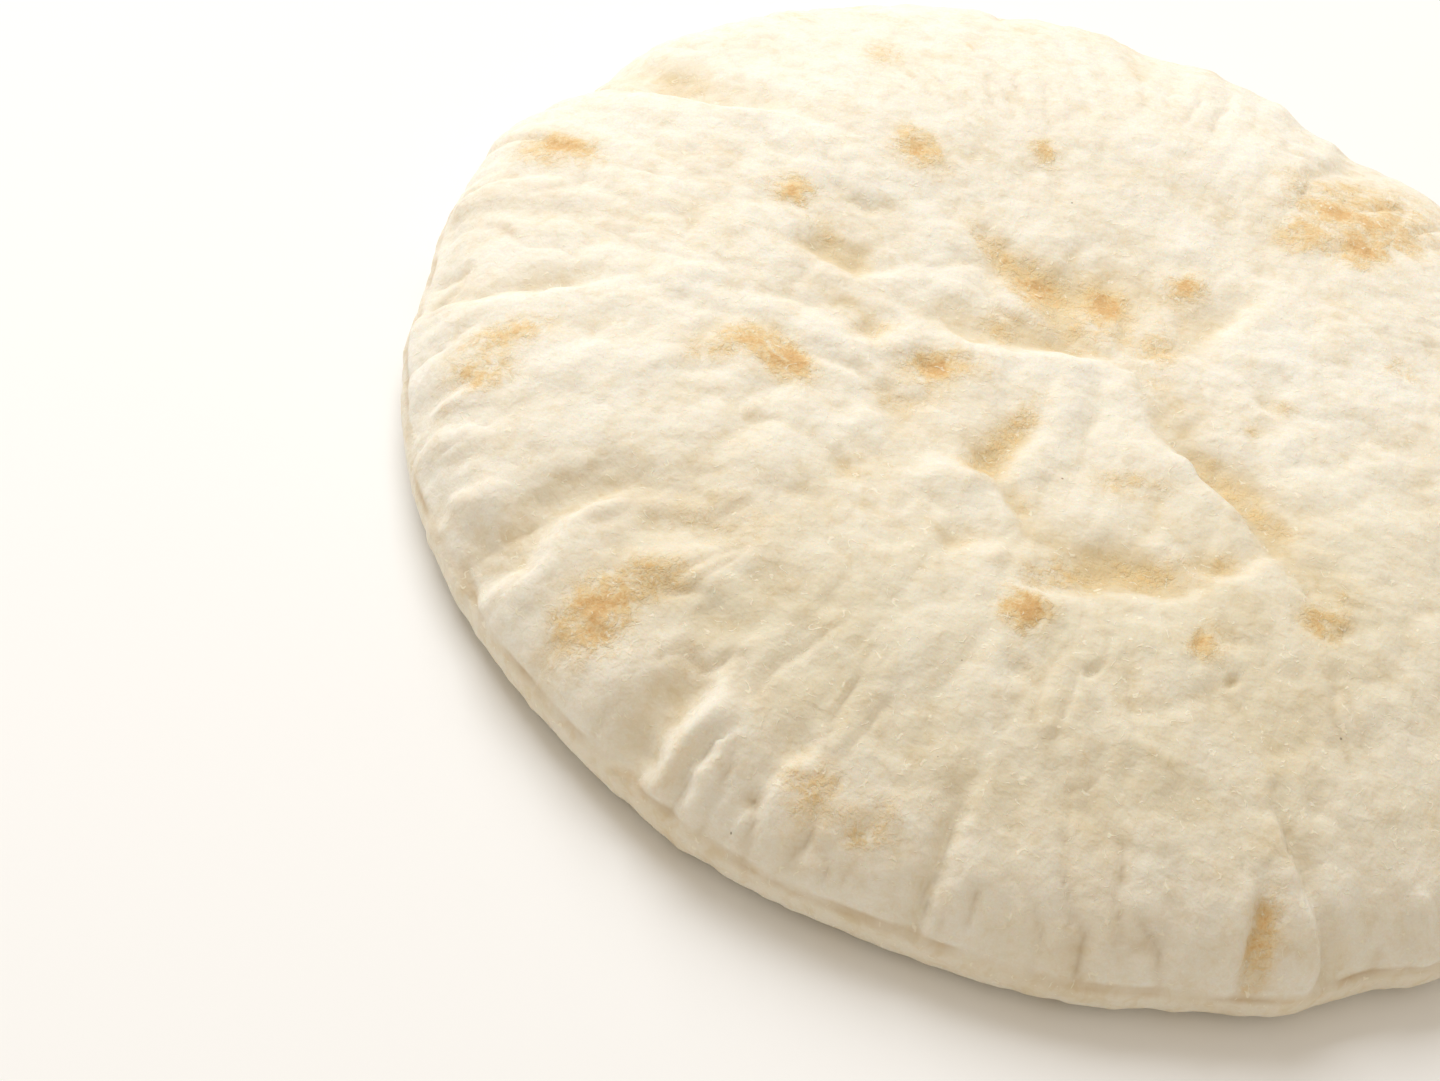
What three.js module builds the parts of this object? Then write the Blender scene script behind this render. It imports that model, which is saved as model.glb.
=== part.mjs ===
// A round pocket flatbread, baked as one piece: a flat underside, a low side wall, and a top crust that
// puffed up in the oven and sank again, so that its rim is pleated and its middle has dropped into folds.
//
// Units are millimetres, +Z is up, and the origin is on the underside, at the middle of the bounding box.
// The loaf is turned from one profile on a lathe, and its crust is then pressed and raised along the folds.
import * as THREE from "three";

// Driving dimensions.
const DIAMETER = 170;
const THICKNESS = 23; // from the underside to the crest of the crust, before the folds
const RADIUS = DIAMETER / 2;

// Facets.
const SEGMENTS = 144; // round the loaf
const CRUST_ROWS = 26; // from the seam to the middle
const WALL_ROWS = 5; // from the foot to the seam

// The cross-section. Each point is [share of the radius, share of the thickness].
const FOOT = [0.72, 0]; // the underside is flat this far out
const WALL_BENDS = [[0.93, 0], [1.0, 0.08]]; // the two points that pull the side wall round
const SEAM = [0.995, 0.36]; // where the crust leaves the underside layer
const CRUST = [
  [0.972, 0.53],
  [0.92, 0.71],
  [0.83, 0.83],
  [0.72, 0.93],
  [0.6, 0.99],
  [0.47, 0.985],
  [0.34, 0.945],
  [0.2, 0.93],
  [0.0, 0.93],
];
const FOLDS_FULL_AT = 0.68; // share of the thickness at which the folds reach their whole depth

// The outline is round to within a millimetre or two. Each lobe is a share of the radius, a count round the
// loaf and the angle in degrees where it stands furthest out.
const LOBES = [
  { share: 0.006, count: 2, at: 140 },
  { share: 0.005, count: 3, at: 20 },
  { share: 0.004, count: 5, at: 265 },
  { share: 0.002, count: 11, at: 12 },
];
const LOBES_START = 0.43; // share of the radius inside which the loaf is left round

// Where the outline leaves that line: a share of the radius, above zero outwards, and a spread in degrees.
// The first two are nicks where deep pleats meet the rim.
const BENDS = [
  { at: 153, share: -0.024, spread: 4.5 },
  { at: 70, share: -0.022, spread: 5 },
  { at: 97, share: 0.022, spread: 11 },
  { at: 140, share: -0.008, spread: 5 },
  { at: 163, share: 0.011, spread: 6 },
  { at: 182, share: -0.017, spread: 6 },
  { at: 222, share: 0.009, spread: 12 },
  { at: 268, share: -0.016, spread: 9 },
  { at: 297, share: 0.015, spread: 5 },
  { at: 314, share: 0.014, spread: 6 },
];

// Folds of the crust. A path is a list of [share of the radius, angle in degrees] from the rim inwards,
// width is a share of the radius, and rise is in millimetres, below zero where the crust is pressed in.
const FOLDS = {
  northHollow: { path: [[0.38, 131], [0.28, 115], [0.26, 90], [0.34, 68]], width: 0.11, rise: -2.0 },
  saddle: { path: [[0.29, 171], [0.19, 155], [0.16, 127], [0.15, 90], [0.19, 56]], width: 0.06, rise: 1.6 },
  westLip: { path: [[0.53, 175], [0.42, 170], [0.35, 154], [0.38, 124]], width: 0.06, rise: 1.0 },
  tongueGroove: { path: [[0.05, 153], [0.08, 214], [0.17, 236], [0.27, 240]], width: 0.05, rise: -2.0 },
  westHollow: { path: [[0.2, 180], [0.26, 196], [0.33, 207]], width: 0.06, rise: -1.6 },
  eastGroove: { path: [[0.2, 7], [0.25, 352], [0.32, 341], [0.39, 337]], width: 0.05, rise: -2.2 },
  eastRidge: { path: [[0.14, 0], [0.22, 342], [0.32, 333], [0.38, 328]], width: 0.05, rise: 1.4 },
  southTrough: { path: [[0.27, 257], [0.37, 270], [0.38, 292], [0.37, 323]], width: 0.07, rise: -2.4 },
  westPleat: { path: [[1.0, 189], [0.84, 190], [0.71, 186], [0.62, 183]], width: 0.045, rise: -1.8 },
  westRib: { path: [[0.99, 193], [0.84, 193], [0.72, 190], [0.6, 188]], width: 0.045, rise: 1.2 },
  southwestPleat: { path: [[1.0, 218], [0.93, 218], [0.84, 217], [0.73, 217]], width: 0.045, rise: -2.2 },
  southwestRib: { path: [[1.0, 222], [0.91, 222], [0.81, 222], [0.72, 223]], width: 0.045, rise: 1.5 },
  southwestHollow: { path: [[0.74, 224], [0.68, 229], [0.6, 232]], width: 0.08, rise: -1.6 },
  lowerPleat: { path: [[0.98, 242], [0.89, 242], [0.8, 242]], width: 0.045, rise: -1.6 },
  lowerRib: { path: [[0.98, 246], [0.89, 247], [0.8, 247]], width: 0.05, rise: 1.0 },
  southPleat: { path: [[1.0, 269], [0.82, 269], [0.61, 268]], width: 0.05, rise: -1.4 },
  southeastPleat: { path: [[1.0, 295], [0.93, 297], [0.85, 297]], width: 0.045, rise: -2.0 },
  southeastRib: { path: [[0.99, 301], [0.92, 301], [0.76, 302]], width: 0.045, rise: 1.4 },
  northwestStep: { path: [[1.0, 150], [0.92, 151], [0.74, 144], [0.64, 138]], width: 0.08, rise: -3.2 },
  northeastStep: { path: [[1.0, 69], [0.89, 68], [0.72, 66]], width: 0.07, rise: -2.8 },
  eastPleat: { path: [[1.0, 342], [0.88, 344], [0.74, 343]], width: 0.05, rise: -1.8 },
  eastRib: { path: [[0.99, 347], [0.86, 349], [0.72, 348]], width: 0.05, rise: 1.1 },
  upperEastPleat: { path: [[1.0, 20], [0.86, 18], [0.7, 20]], width: 0.05, rise: -1.8 },
};

// A point of the loaf's plan, in radii, from a share of the radius and an angle in degrees.
function planPoint([share, degrees]) {
  const angle = THREE.MathUtils.degToRad(degrees);
  return new THREE.Vector3(Math.cos(angle), Math.sin(angle), 0).multiplyScalar(share);
}

const foldLines = Object.values(FOLDS).map(({ path, width, rise }) => {
  const points = path.map(planPoint);
  return { width, rise, lines: points.slice(1).map((end, i) => new THREE.Line3(points[i], end)) };
});

// How far the folds raise the crust at a point of the plan, in millimetres.
function crustRise(point) {
  const nearest = new THREE.Vector3();
  let total = 0;
  for (const { width, rise, lines } of foldLines) {
    const away = Math.min(
      ...lines.map((line) => line.closestPointToPoint(point, true, nearest).distanceTo(point)),
    );
    total += rise * Math.exp(-((away / width) ** 2));
  }
  return total;
}

// The outline's radius at an angle, as a share of the mean radius.
function outlineShare(angle) {
  const degrees = THREE.MathUtils.radToDeg(angle);
  let share = 1;
  for (const lobe of LOBES) {
    share += lobe.share * Math.cos(THREE.MathUtils.degToRad(lobe.count * (degrees - lobe.at)));
  }
  for (const bend of BENDS) {
    const away = THREE.MathUtils.euclideanModulo(degrees - bend.at + 180, 360) - 180;
    share += bend.share * Math.exp(-((away / bend.spread) ** 2));
  }
  return share;
}

// The profile from the middle of the underside, round the rim, to the middle of the crust.
function profile() {
  const place = ([out, up]) => new THREE.Vector2(out * RADIUS, up * THICKNESS);
  const wall = new THREE.CubicBezierCurve(place(FOOT), ...WALL_BENDS.map(place), place(SEAM));
  const crust = new THREE.SplineCurve([SEAM, ...CRUST].map(place));
  const points = [
    new THREE.Vector2(0, 0),
    ...wall.getPoints(WALL_ROWS),
    ...crust.getSpacedPoints(CRUST_ROWS).slice(1),
  ];
  points.at(-1).x = 0; // the last point closes the crust on the axis exactly
  return points;
}

// Turns the profile, then shapes the outline and the crust.
function loafGeometry() {
  const geometry = new THREE.LatheGeometry(profile(), SEGMENTS).rotateX(Math.PI / 2);
  const position = geometry.getAttribute("position");
  const point = new THREE.Vector3();
  const plan = new THREE.Vector3();
  for (let i = 0; i < position.count; i++) {
    point.fromBufferAttribute(position, i);
    plan.set(point.x / RADIUS, point.y / RADIUS, 0);
    const outline = outlineShare(Math.atan2(point.y, point.x));
    const near = THREE.MathUtils.smoothstep(plan.length(), LOBES_START, 1);
    const stretch = THREE.MathUtils.lerp(1, outline, near);
    const loose = THREE.MathUtils.smoothstep(point.z / THICKNESS, SEAM[1], FOLDS_FULL_AT);
    position.setXYZ(i, point.x * stretch, point.y * stretch, point.z + loose * crustRise(plan));
  }
  geometry.computeBoundingBox();
  const middle = geometry.boundingBox.getCenter(new THREE.Vector3());
  geometry.translate(-middle.x, -middle.y, 0);
  geometry.computeVertexNormals();
  return geometry;
}

const loaf = new THREE.Mesh(
  loafGeometry(),
  new THREE.MeshStandardMaterial({ color: 0xeadfc6, roughness: 0.85, metalness: 0 }),
);
loaf.name = "flatbread_loaf";

const root = new THREE.Group();
root.add(loaf);

export default root;
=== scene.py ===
# A round pocket flatbread on a pale studio floor. The loaf is one baked piece: a crust that puffed up and
# sank into folds, a seam round the rim, and a smooth layer below it.
import math

import bmesh
import bpy
import numpy as np
from mathutils import Euler, Matrix, Vector, noise


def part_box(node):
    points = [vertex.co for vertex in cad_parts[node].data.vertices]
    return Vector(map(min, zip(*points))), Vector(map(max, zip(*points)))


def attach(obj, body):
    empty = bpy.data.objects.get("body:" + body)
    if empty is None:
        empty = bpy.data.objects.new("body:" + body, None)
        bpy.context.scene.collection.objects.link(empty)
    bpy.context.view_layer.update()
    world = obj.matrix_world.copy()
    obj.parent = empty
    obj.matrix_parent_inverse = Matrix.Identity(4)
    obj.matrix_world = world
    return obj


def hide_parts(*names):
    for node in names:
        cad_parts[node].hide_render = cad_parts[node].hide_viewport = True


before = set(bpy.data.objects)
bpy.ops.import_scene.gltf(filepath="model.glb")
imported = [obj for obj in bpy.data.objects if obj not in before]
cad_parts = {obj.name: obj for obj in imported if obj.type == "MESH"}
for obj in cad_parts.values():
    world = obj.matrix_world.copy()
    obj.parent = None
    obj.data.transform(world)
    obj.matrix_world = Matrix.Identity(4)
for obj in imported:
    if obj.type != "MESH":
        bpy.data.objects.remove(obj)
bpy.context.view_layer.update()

bl_info = {
    "name": "Pocket Flatbread",
    "version": (1, 0, 0),
    "blender": (4, 5, 0),
    "location": "View3D > Sidebar > Bread",
    "description": "Models a baked pocket flatbread with its crust, and a plain studio round it",
    "category": "Add Mesh",
}

# ---------------------------------------------------------------------------------------------------------
# The frame

CAD_NODE = "flatbread_loaf"
LOW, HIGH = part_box(CAD_NODE)
MM = 0.001
LOAF_RADIUS = (HIGH.x - LOW.x + HIGH.y - LOW.y) / 4
LOAF_HEIGHT = HIGH.z - LOW.z

# ---------------------------------------------------------------------------------------------------------
# Facets

CELLS = 184  # across the grid that makes the middle of the crust, a quarter of the facets round the rim
CAP_SHARE = 0.68  # the grid reaches this share of the radius
CRUST_PITCH = 0.6 * MM  # between rows of the crust outside the grid
WALL_PITCH = 0.8 * MM
FOOT_PITCH = 2.0 * MM
SOLE_PITCH = 9.0 * MM
SOLE_HOLE = 0.01 * MM  # the last ring of the sole, which is merged into its middle
WALL_RUN = 13 * MM  # how far the wall goes down and under from the seam
FOOT_RUN = 31 * MM  # how far from the seam the foot ends and the flat sole starts
PROFILE_STEPS = 24  # pieces of the curve from each point of the cross-section to the next
FOLD_STEPS = 5  # pieces of the curve from each point of a fold's path to the next

# ---------------------------------------------------------------------------------------------------------
# The cross-section, from the middle of the crust to the middle of the sole. Each point is a share of the
# radius and a share of the height.

CRUST_PROFILE = [
    (0.0, 0.945),
    (0.2, 0.95),
    (0.34, 0.962),
    (0.46, 0.99),
    (0.56, 0.995),
    (0.67, 0.945),
    (0.78, 0.84),
    (0.87, 0.735),
    (0.94, 0.605),
    (0.982, 0.44),
]
SEAM_POINT = (0.999, 0.29)
UNDER_PROFILE = [
    (1.002, 0.22),
    (0.997, 0.13),
    (0.98, 0.06),
    (0.95, 0.02),
    (0.9, 0.0),
    (0.8, 0.0),
    (0.6, 0.0),
    (0.3, 0.0),
    (0.0, 0.0),
]

# The outline is round to within a millimetre or two. Each lobe is a share of the radius, a count round the
# loaf and the angle in degrees where it stands furthest out.
OUTLINE_LOBES = [(0.006, 2, 140), (0.005, 3, 20), (0.004, 5, 265), (0.002, 11, 12)]

# Where the outline leaves that line: an angle, a share of the radius, above zero outwards, and a spread in
# degrees. The first two are nicks where deep pleats meet the rim.
OUTLINE_BENDS = [
    (153, -0.024, 4.5),
    (70, -0.022, 5),
    (97, 0.022, 11),
    (140, -0.008, 5),
    (163, 0.011, 6),
    (182, -0.017, 6),
    (222, 0.009, 12),
    (268, -0.016, 9),
    (297, 0.015, 5),
    (306, -0.007, 3),
    (314, 0.014, 6),
]

# ---------------------------------------------------------------------------------------------------------
# Folds of the crust. Each has a way of bending, a width and a rise in millimetres, and a path of points, a
# share of the radius and an angle in degrees. A swell is round across, a crease is sharp at its bottom with
# round shoulders, a step leaves the crust higher on the left of its path, and a pleat sinks slowly on the
# left of its path and stands up in a steep bank on the right.

FOLDS = {
    "west pleat": ("pleat", 2.4, 1.0, [
        (0.98, 188.6), (0.93, 189.9), (0.87, 189.6), (0.8, 188.7), (0.73, 187.4), (0.65, 185.6)
    ]),
    "west pleat hollow": ("swell", 3.0, -0.4, [(0.98, 186.3), (0.91, 187.2), (0.83, 186.9)]),
    "rim fold a": ("pleat", 1.6, 0.52, [
        (0.99, 202.5), (0.98, 201.6), (0.95, 201.6), (0.92, 201.9), (0.88, 202.9)
    ]),
    "rim fold b": ("pleat", 1.3, 0.38, [
        (0.99, 204.9), (0.98, 204.7), (0.95, 205.3), (0.91, 206.3), (0.87, 206.6)
    ]),
    "rim fold c": ("pleat", 1.3, 0.4, [
        (1, 208.9), (0.98, 208.9), (0.96, 209.5), (0.93, 210), (0.9, 211.1)
    ]),
    "rim fold d": ("pleat", 1.6, 0.56, [(1, 212.3), (0.99, 211.5), (0.97, 211.8), (0.95, 212.4)]),
    "rim fold e": ("pleat", 1.0, 0.4, [(0.99, 216.3), (0.98, 217.3), (0.97, 218.7)]),
    "rim lobe": ("swell", 2.6, 0.6, [(0.97, 213.8), (0.94, 214.1), (0.91, 213.6)]),
    "southwest pleat": ("pleat", 3.0, 1.8, [
        (1, 219.8), (0.97, 220.8), (0.94, 220.5), (0.9, 219.4), (0.87, 218.7), (0.83, 218.5),
        (0.79, 219.2), (0.74, 220.8), (0.69, 223.6)
    ]),
    "southwest valley": ("swell", 3.4, -0.8, [(0.99, 215.5), (0.95, 218.2), (0.89, 217.9), (0.81, 217.6)]),
    "southwest dip": ("swell", 3.4, -1.5, [
        (0.84, 223.2), (0.79, 224.7), (0.73, 226.9), (0.69, 231.7), (0.65, 235.2)
    ]),
    "southwest crest": ("swell", 3.0, 0.6, [(0.88, 228.1), (0.82, 229.8), (0.78, 232.4), (0.76, 236.2)]),
    "southwest slope": ("swell", 2.4, -0.5, [(0.79, 236), (0.82, 240.6)]),
    "lower pleat": ("pleat", 2.8, 1.82, [
        (0.98, 242.2), (0.96, 242), (0.92, 241.7), (0.88, 242.2), (0.85, 242.2)
    ]),
    "lower valley": ("swell", 3.0, -1.04, [(0.98, 241.1), (0.94, 240.5), (0.88, 240.5)]),
    "lower rib": ("swell", 3.6, 0.6, [(0.96, 243.3), (0.91, 244.1), (0.84, 245.4)]),
    "second lower pleat": ("pleat", 1.6, 1.5, [(0.99, 246.5), (0.97, 245.8), (0.95, 246.3)]),
    "third lower pleat": ("pleat", 1.9, 0.8, [
        (0.96, 252), (0.92, 252.2), (0.89, 252.1), (0.86, 253.3), (0.8, 254.9)
    ]),
    "northwest step": ("pleat", 3.2, 2.0, [
        (0.94, 152.4), (0.88, 151.6), (0.82, 151.4), (0.77, 151), (0.73, 148.6), (0.67, 145.1),
        (0.59, 142.4)
    ]),
    "northwest wedge": ("swell", 4.0, -1.8, [(0.96, 148.2), (0.88, 148.2), (0.79, 147.5)]),
    "north fold": ("pleat", 2.4, 1.05, [
        (0.52, 173), (0.47, 171.7), (0.43, 171.4), (0.39, 170.9), (0.35, 167.4), (0.32, 158.4)
    ]),
    "north fold b": ("swell", 1.6, -0.81, [(0.48, 154), (0.45, 153.7), (0.41, 151.4)]),
    "saddle": ("pleat", 2.7, 1.15, [
        (0.3, 175.8), (0.25, 176), (0.2, 176.4), (0.14, 173), (0.08, 149.6), (0.06, 84.1),
        (0.12, 44.9)
    ]),
    "hollow arm": ("swell", 3.0, -1.1, [
        (0.34, 136.2), (0.3, 132.1), (0.25, 128.6), (0.19, 123.3), (0.14, 116.8), (0.08, 123.2)
    ]),
    "hollow": ("swell", 6.5, -1.3, [(0.19, 123.3), (0.17, 90.7), (0.24, 62.5)]),
    "hollow corner": ("pleat", 3.0, 1.05, [(0.19, 41.5), (0.25, 47.2), (0.32, 51.6), (0.37, 51.2)]),
    "north crest": ("swell", 7.0, 0.5, [
        (0.38, 133.8), (0.32, 113.3), (0.32, 90.2), (0.34, 70.6), (0.36, 56.3)
    ]),
    "west eye": ("swell", 2.2, -0.62, [(0.37, 191.7), (0.33, 190.5), (0.29, 182.4)]),
    "west eye lip": ("swell", 1.8, 0.81, [(0.37, 199.5), (0.31, 196.4), (0.27, 187.7)]),
    "middle eye": ("swell", 1.8, -0.73, [(0.28, 205.9), (0.24, 202.4), (0.2, 201.6)]),
    "lower eye": ("swell", 2.5, -0.81, [(0.36, 214.3), (0.31, 216.4), (0.24, 215.2)]),
    "west lip": ("swell", 3.0, 0.81, [(0.46, 193.8), (0.4, 196.7), (0.38, 205.4)]),
    "tongue edge": ("pleat", 2.4, 1.0, [(0.3, 252.4), (0.26, 248.4), (0.19, 244.8), (0.11, 239.7)]),
    "tongue hollow": ("swell", 2.8, -0.89, [(0.33, 243.5), (0.28, 245.5), (0.2, 242.5)]),
    "far eye": ("swell", 2.0, -0.75, [(0.49, 230.4), (0.45, 230.6)]),
    "pock": ("swell", 1.8, -0.94, [(0.5, 252), (0.45, 253.2), (0.41, 255.1)]),
    "tongue side": ("swell", 1.5, -0.94, [(0.3, 253.2), (0.33, 258.6), (0.35, 264.6)]),
    "crest below": ("swell", 3.0, 0.68, [(0.46, 236), (0.36, 242.2), (0.32, 254.1)]),
    "trough": ("pleat", 2.9, 1.0, [
        (0.45, 259.7), (0.47, 265.2), (0.47, 271.4), (0.44, 280.5), (0.44, 290), (0.43, 297.3),
        (0.42, 303.9)
    ]),
    "trough floor": ("swell", 3.8, -1.2, [(0.45, 269.3), (0.4, 280.8), (0.4, 291.3), (0.4, 300.4)]),
    "trough end": ("pleat", 2.2, 1.0, [(0.38, 302.6), (0.42, 307.9), (0.41, 315), (0.4, 321.8)]),
    "east groove": ("pleat", 2.6, 1.7, [
        (0.09, 351.8), (0.15, 333.6), (0.2, 329), (0.25, 327.6), (0.29, 326.4), (0.34, 324.1),
        (0.4, 320.8), (0.46, 319.3)
    ]),
    "east groove floor": ("swell", 2.6, -0.7, [(0.21, 335.8), (0.27, 333.8), (0.34, 331), (0.39, 326.7)]),
    "east line": ("swell", 1.4, -0.56, [(0.25, 13), (0.29, 9), (0.32, 4.2)]),
    "south pleat": ("pleat", 1.3, 1.4, [
        (1, 267.7), (0.99, 267.9), (0.97, 267.8), (0.95, 268.2), (0.92, 267.9), (0.88, 268.3),
        (0.85, 268), (0.8, 268.7)
    ]),
    "short south pleat": ("crease", 0.6, -0.5, [(0.98, 271.4), (0.95, 271.7)]),
    "stitch": ("crease", 0.6, -0.6, [(1, 280.8), (0.98, 280.5)]),
    "southeast pleat": ("pleat", 1.5, 1.1, [
        (0.89, 296.1), (0.92, 295.4), (0.96, 295.1), (0.98, 294.8), (1, 294.1)
    ]),
    "southeast valley": ("swell", 1.6, -0.5, [(0.96, 295.7), (0.91, 296.1)]),
    "southeast line": ("crease", 0.5, -0.5, [(0.9, 294), (0.86, 293.5)]),
    "southeast rib": ("pleat", 1.5, 1.5, [
        (0.77, 298.9), (0.81, 299.3), (0.85, 299.7), (0.89, 300.2), (0.93, 300.6), (0.97, 301),
        (1.01, 301.2)
    ]),
    "far rib": ("swell", 1.1, 1.04, [(0.99, 310.7), (0.96, 310.5), (0.92, 310.4)]),
    "far pleat": ("crease", 0.7, -0.6, [(1.01, 305.8), (0.99, 307.1)]),
    "dent a": ("swell", 2.2, -0.81, [(0.66, 268.3), (0.63, 272.4)]),
    "dent b": ("swell", 1.8, -0.68, [(0.61, 278.1), (0.62, 279.8)]),
    "dent c": ("swell", 2.0, -0.81, [(0.55, 293.8), (0.56, 296.3)]),
    "dent d": ("swell", 1.6, -0.81, [(0.6, 298.2), (0.62, 299)]),
    "dent e": ("swell", 1.8, -0.68, [(0.54, 315.3), (0.57, 317)]),
    "east rise": ("swell", 7.0, 0.8, [(0.3, 42.8), (0.39, 22.4), (0.41, 357.7)]),
    "billow left": ("swell", 2.4, 0.54, [(0.41, 241.6), (0.35, 245.5), (0.33, 253.1)]),
    "billow right": ("swell", 2.6, 1.0, [(0.44, 258.3), (0.46, 263.1), (0.48, 268.5)]),
    "billow west": ("swell", 2.4, 0.9, [(0.45, 222.8), (0.39, 222.1), (0.36, 227)]),
    "west pleat line": ("crease", 0.5, -0.45, [
        (0.98, 188.6), (0.92, 189.7), (0.85, 189.2), (0.8, 188.4), (0.74, 187.1)
    ]),
    "northeast step": ("step", 3.0, -1.4, [(1.02, 69), (0.9, 68), (0.78, 67), (0.68, 66)]),
    "northeast gully": ("swell", 4.5, -1.5, [(0.99, 72), (0.88, 71), (0.76, 69)]),
    "east pleat": ("crease", 1.3, -1.8, [(1.02, 342), (0.9, 344), (0.76, 342)]),
    "east rib": ("swell", 3.6, 1.3, [(0.98, 347), (0.86, 349), (0.72, 348)]),
    "upper east pleat": ("pleat", 2.4, 1.5, [(1.02, 20), (0.9, 18), (0.74, 20)]),
    "upper east rib": ("swell", 3.6, 0.8, [(0.97, 25), (0.84, 24), (0.72, 25)]),
    "east valley": ("swell", 5.0, -1.2, [(0.93, 4), (0.78, 3), (0.62, 8)]),
    "short east pleat": ("crease", 1.1, -1.0, [(1.02, 41), (0.93, 42), (0.86, 41)]),
    "back pleat": ("crease", 1.1, -1.0, [(1.02, 108), (0.93, 107), (0.86, 108)]),
    "back valley": ("swell", 5.0, -0.9, [(0.95, 90), (0.84, 91), (0.74, 94)]),
    "left pleat": ("crease", 1.0, -0.7, [(1.01, 174), (0.94, 172.5), (0.86, 172)]),
}

# Toasted spots of the crust: a share of the radius, an angle in degrees, how long and how wide in
# millimetres, the way its length points in degrees, and how brown it is.
SPOTS = [
    (0.871, 168.3, 4.8, 2.8, 176, 0.65),
    (0.892, 167.1, 2.6, 1.8, 174, 0.6),
    (1.029, 166.3, 1.6, 2, 18, 0.15),
    (1.022, 174.2, 1.6, 2, 131, 0.15),
    (0.533, 160.1, 2.8, 2.3, 33, 0.85),
    (0.442, 166.5, 5.2, 2, 150, 0.33),
    (0.616, 161.8, 2.4, 3, 11, 0.15),
    (0.858, 196.4, 4.1, 2.2, 17, 0.6),
    (0.917, 201.2, 3.2, 2.1, 180, 0.7),
    (0.891, 199.1, 3.7, 1.8, 174, 0.25),
    (0.967, 203.4, 1.6, 1.2, 50, 0.25),
    (0.531, 200, 4.1, 2.6, 34, 0.7),
    (0.473, 205, 2.7, 2.2, 9, 1.25),
    (0.601, 202, 2.4, 2.4, 19, 0.22),
    (0.329, 190, 4.3, 3, 35, 0.3),
    (0.235, 203, 4.1, 2, 30, 1.05),
    (0.303, 216.5, 4.3, 2.4, 22, 0.35),
    (0.744, 125.5, 3.3, 3.4, 169, 0.45),
    (0.754, 113.9, 1.9, 2.4, 179, 0.25),
    (0.905, 129.7, 3, 3.4, 149, 0.3),
    (0.902, 92.9, 1.9, 2.4, 31, 0.25),
    (0.765, 92.9, 2.5, 2.6, 11, 0.25),
    (0.867, 148.6, 6.2, 2.6, 153, 0.28),
    (0.494, 133.1, 3.2, 2.6, 147, 0.95),
    (0.477, 108.4, 1.9, 2.2, 139, 0.8),
    (0.197, 127.4, 6.4, 2.6, 138, 0.42),
    (0.193, 121.4, 2.5, 2.2, 141, 0.7),
    (0.176, 89.4, 2.9, 1.9, 109, 1.05),
    (0.28, 65.7, 1.6, 2, 156, 0.9),
    (0.156, 86.5, 15.1, 6, 23, 0.18),
    (0.093, 78.6, 9.3, 3, 17, 0.18),
    (0.154, 166.4, 2.1, 2.6, 156, 0.35),
    (0.132, 41.2, 1.9, 2.4, 163, 0.45),
    (0.11, 9.5, 1.6, 2, 7, 0.3),
    (0.295, 131.5, 3.9, 2, 147, 0.4),
    (0.195, 242.4, 7.6, 1.9, 72, 0.5),
    (0.306, 245.8, 2.9, 2, 25, 0.35),
    (0.234, 292.4, 5.6, 1.9, 16, 0.42),
    (0.322, 260.5, 1.4, 1.5, 151, 0.25),
    (0.307, 328.2, 8.3, 2.1, 141, 0.5),
    (0.3, 9.9, 2.4, 1.8, 1, 0.3),
    (0.253, 355.5, 1.6, 2, 172, 0.35),
    (0.413, 283.3, 10.1, 2.8, 26, 0.55),
    (0.402, 310.4, 2.4, 2.2, 34, 0.25),
    (0.541, 268.2, 2.2, 2.8, 178, 1.2),
    (0.546, 296.3, 2.2, 2.8, 137, 0.65),
    (0.554, 317, 2.4, 3, 174, 0.7),
    (0.53, 325.1, 1.4, 1.8, 165, 0.35),
    (0.614, 298.6, 1.3, 1.6, 142, 0.25),
    (0.921, 230.9, 3.2, 3.4, 26, 1.0),
    (0.829, 231.2, 5.8, 2.8, 32, 0.54),
    (0.881, 239.7, 2.9, 2.4, 37, 0.25),
    (0.966, 244.6, 2.1, 2.6, 9, 0.2),
    (0.694, 228.9, 8.3, 3.4, 2, 0.26),
    (0.918, 256, 3.4, 3, 131, 0.5),
    (0.93, 261.7, 2.2, 2.8, 137, 0.5),
    (0.898, 252.3, 1.7, 1.8, 66, 0.15),
    (0.948, 295.9, 3.6, 1.7, 101, 0.75),
    (0.643, 271.6, 2.8, 3.2, 30, 0.2),
    (0.451, 253.8, 3.1, 2, 62, 0.2),
    (0.469, 231, 2, 2, 47, 0.2),
    (0.975, 302.7, 1.5, 1.5, 144, 0.2),
    (0.596, 51.3, 2.5, 2.6, 9, 1),
    (0.636, 58.2, 2.7, 2.8, 15, 0.5),
    (0.708, 52, 2.9, 3, 28, 0.45),
    (0.668, 56.5, 12.5, 8, 38, 0.42),
    (0.516, 58.5, 3.3, 2.6, 63, 0.4),
    (0.755, 60.2, 10.1, 5, 32, 0.38),
    (0.409, 16.4, 1.8, 2.2, 6, 0.15),
    (0.7, 8, 3.6, 3.0, 20, 0.6),
    (0.86, 350, 5.0, 3.2, 60, 0.7),
    (0.82, 30, 4.2, 3.0, 30, 0.6),
    (0.5, 25, 2.6, 2.2, 0, 0.45),
    (0.9, 12, 3.0, 2.4, 0, 0.4),
    (0.66, 340, 2.6, 2.2, 0, 0.45),
]

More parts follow.
